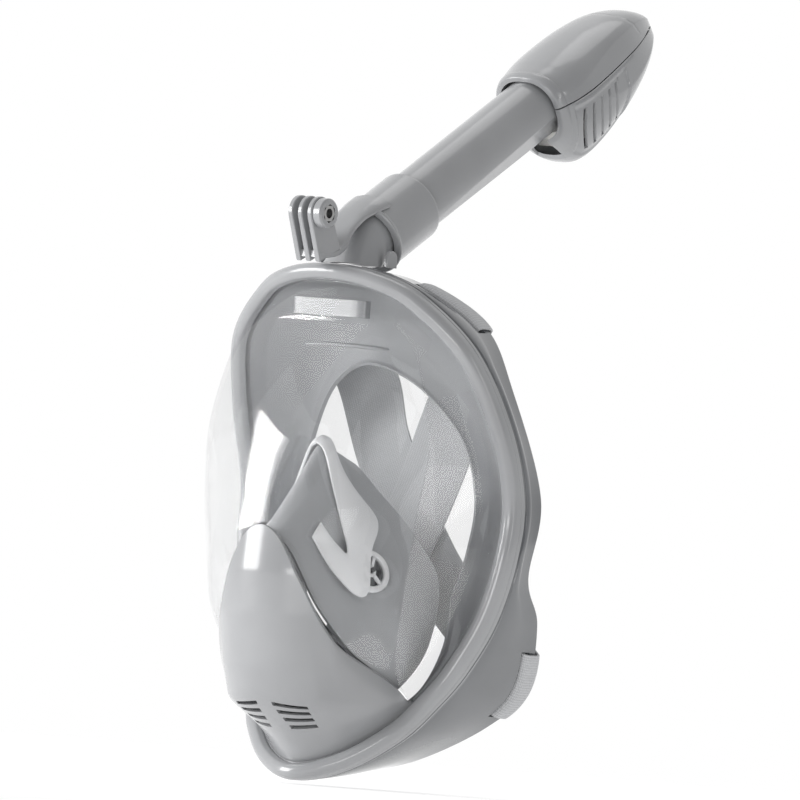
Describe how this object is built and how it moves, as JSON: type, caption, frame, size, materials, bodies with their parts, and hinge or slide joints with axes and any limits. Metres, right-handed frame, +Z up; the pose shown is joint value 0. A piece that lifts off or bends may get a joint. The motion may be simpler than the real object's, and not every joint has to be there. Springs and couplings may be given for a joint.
{
  "type": "full face snorkel mask",
  "caption": "Full-face snorkel mask with clear domed lens, silicone skirt and nose pocket, elastic head straps, leaning snorkel with float valve and a camera prong mount.",
  "frame": {"origin": "centre of the face opening, on the mask's middle plane, about at the eyes' lower edge", "axes": "+Z up along the face, +X to the right seen from the front, -Y the way the wearer looks"},
  "size_m": [0.1822, 0.2949, 0.4128],
  "materials": {
    "gloss_grey_abs": "glossy moulded",
    "dark_grey_abs": "glossy moulded",
    "clear_polycarbonate": "polished",
    "grey_silicone": "matte",
    "translucent_grey_plastic": "satin, slightly see-through",
    "grey_webbing": "knitted elastic",
    "black_hook_tape": "matte hooks",
    "black_silicone": "satin",
    "white_foam": "closed-cell foam",
    "steel": "plain"
  },
  "bodies": {
    "mask": {"air_duct": "clear_polycarbonate", "camera_mount": "gloss_grey_abs", "camera_nut": "steel", "chin_cover": "gloss_grey_abs", "exhaust_housing": "dark_grey_abs", "face_skirt": "grey_silicone", "forehead_rib": "grey_silicone", "front_rim": "gloss_grey_abs", "hook_tab_lower_left": "black_hook_tape", "hook_tab_lower_right": "black_hook_tape", "hook_tab_upper_left": "black_hook_tape", "hook_tab_upper_right": "black_hook_tape", "inlet_valve_seat_left": "translucent_grey_plastic", "inlet_valve_seat_right": "translucent_grey_plastic", "lens": "clear_polycarbonate", "nose_pocket": "grey_silicone", "pocket_bracket": "translucent_grey_plastic", "purge_valve_seat": "dark_grey_abs", "side_frame": "dark_grey_abs", "snorkel_socket": "gloss_grey_abs", "socket_o_ring": "black_silicone", "strap_cross_patch": "grey_webbing", "strap_left_down": "grey_webbing", "strap_right_down": "grey_webbing"},
    "snorkel": {"snorkel_tube": "gloss_grey_abs", "tube_divider": "gloss_grey_abs", "head_housing": "gloss_grey_abs", "head_cap": "gloss_grey_abs", "float_pin": "steel"},
    "float": {"float_lever": "translucent_grey_plastic", "float_block": "white_foam", "float_seal": "black_silicone"},
    "inlet_flap_left": {"inlet_flap_left": "black_silicone"},
    "inlet_flap_right": {"inlet_flap_right": "black_silicone"},
    "purge_flap": {"purge_flap": "black_silicone"},
    "release_tab_left": {"release_tab_left": "gloss_grey_abs"},
    "release_tab_right": {"release_tab_right": "gloss_grey_abs"}
  },
  "joints": [
    {"name": "snorkel_pull_off", "type": "slide", "parent": "mask", "child": "snorkel", "axis": [0, 0.866, 0.5], "range_m": [0, 0.025]},
    {"name": "float_swing", "type": "hinge", "parent": "snorkel", "child": "float", "pos_m": [0, 0.15847, 0.22568], "axis": [1, 0, 0], "range_deg": [0, 4.5]},
    {"name": "inlet_flap_left_lift", "type": "slide", "parent": "mask", "child": "inlet_flap_left", "axis": [0.8947, 0.2897, -0.34], "range_m": [0, 0.0012], "stiffness_N_per_m": 20},
    {"name": "inlet_flap_right_lift", "type": "slide", "parent": "mask", "child": "inlet_flap_right", "axis": [-0.8947, 0.2897, -0.34], "range_m": [0, 0.0012], "stiffness_N_per_m": 20},
    {"name": "purge_flap_lift", "type": "slide", "parent": "mask", "child": "purge_flap", "axis": [0, -0.96, -0.28], "range_m": [0, 0.0018], "stiffness_N_per_m": 50},
    {"name": "release_tab_left_press", "type": "hinge", "parent": "mask", "child": "release_tab_left", "pos_m": [-0.0219, -0.029, 0.1306], "axis": [0, -1, 0], "range_deg": [0, 8], "stiffness_Nm_per_rad": 0.05},
    {"name": "release_tab_right_press", "type": "hinge", "parent": "mask", "child": "release_tab_right", "pos_m": [0.0219, -0.029, 0.1306], "axis": [0, 1, 0], "range_deg": [0, 8], "stiffness_Nm_per_rad": 0.05}
  ]
}
